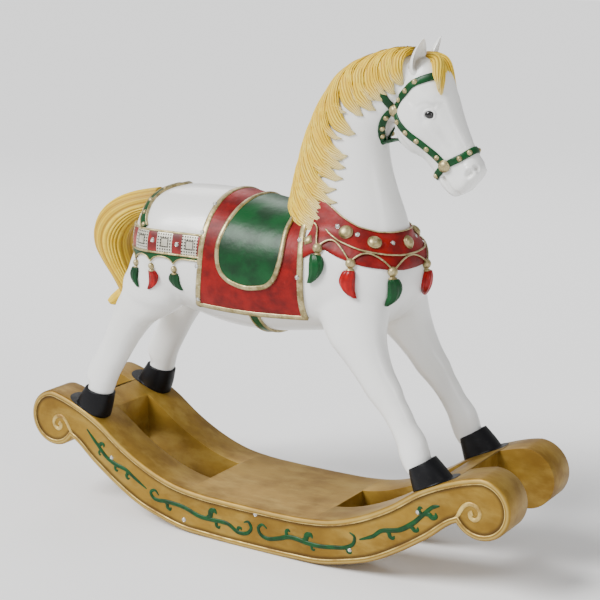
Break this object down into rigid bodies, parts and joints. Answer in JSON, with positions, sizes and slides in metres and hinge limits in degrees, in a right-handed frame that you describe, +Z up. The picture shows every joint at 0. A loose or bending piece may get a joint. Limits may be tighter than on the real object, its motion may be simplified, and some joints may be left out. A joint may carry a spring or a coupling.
{
  "type": "rocking horse statue",
  "caption": "Light-up rocking horse statue: a painted hollow casting of a harnessed horse standing on a scrolled rocker base, with small clear lamp lenses set in both.",
  "frame": {"origin": "middle of the footprint, on the floor under the flat of the rocker", "axes": "+X toward the horse's nose, +Y toward the horse's left side, +Z up"},
  "size_m": [0.7154, 0.174, 0.644],
  "materials": {
    "painted_resin": "hand-painted cast resin: semi-gloss white body with yellow mane and tail, red and green harness and saddle-cloth, champagne gold trim and black hooves",
    "antique_gold_resin": "cast resin painted antique gold over brown, satin, with green vine relief",
    "lamp_lens": "clear moulded lamp lens"
  },
  "bodies": {
    "root": {"horse": "painted_resin", "rocker_base": "antique_gold_resin", "horse_lamp_1": "lamp_lens", "horse_lamp_2": "lamp_lens", "horse_lamp_3": "lamp_lens", "horse_lamp_4": "lamp_lens", "horse_lamp_5": "lamp_lens", "horse_lamp_6": "lamp_lens", "horse_lamp_7": "lamp_lens", "horse_lamp_8": "lamp_lens", "horse_lamp_9": "lamp_lens", "horse_lamp_10": "lamp_lens", "horse_lamp_11": "lamp_lens", "horse_lamp_12": "lamp_lens", "horse_lamp_13": "lamp_lens", "horse_lamp_14": "lamp_lens", "horse_lamp_15": "lamp_lens", "horse_lamp_16": "lamp_lens", "horse_lamp_17": "lamp_lens", "horse_lamp_18": "lamp_lens", "horse_lamp_19": "lamp_lens", "horse_lamp_20": "lamp_lens", "horse_lamp_21": "lamp_lens", "horse_lamp_22": "lamp_lens", "horse_lamp_23": "lamp_lens", "horse_lamp_24": "lamp_lens", "base_lamp_1": "lamp_lens", "base_lamp_2": "lamp_lens", "base_lamp_3": "lamp_lens", "base_lamp_4": "lamp_lens", "base_lamp_5": "lamp_lens", "base_lamp_6": "lamp_lens", "base_lamp_7": "lamp_lens", "base_lamp_8": "lamp_lens", "base_lamp_9": "lamp_lens", "base_lamp_10": "lamp_lens"}
  },
  "joints": []
}
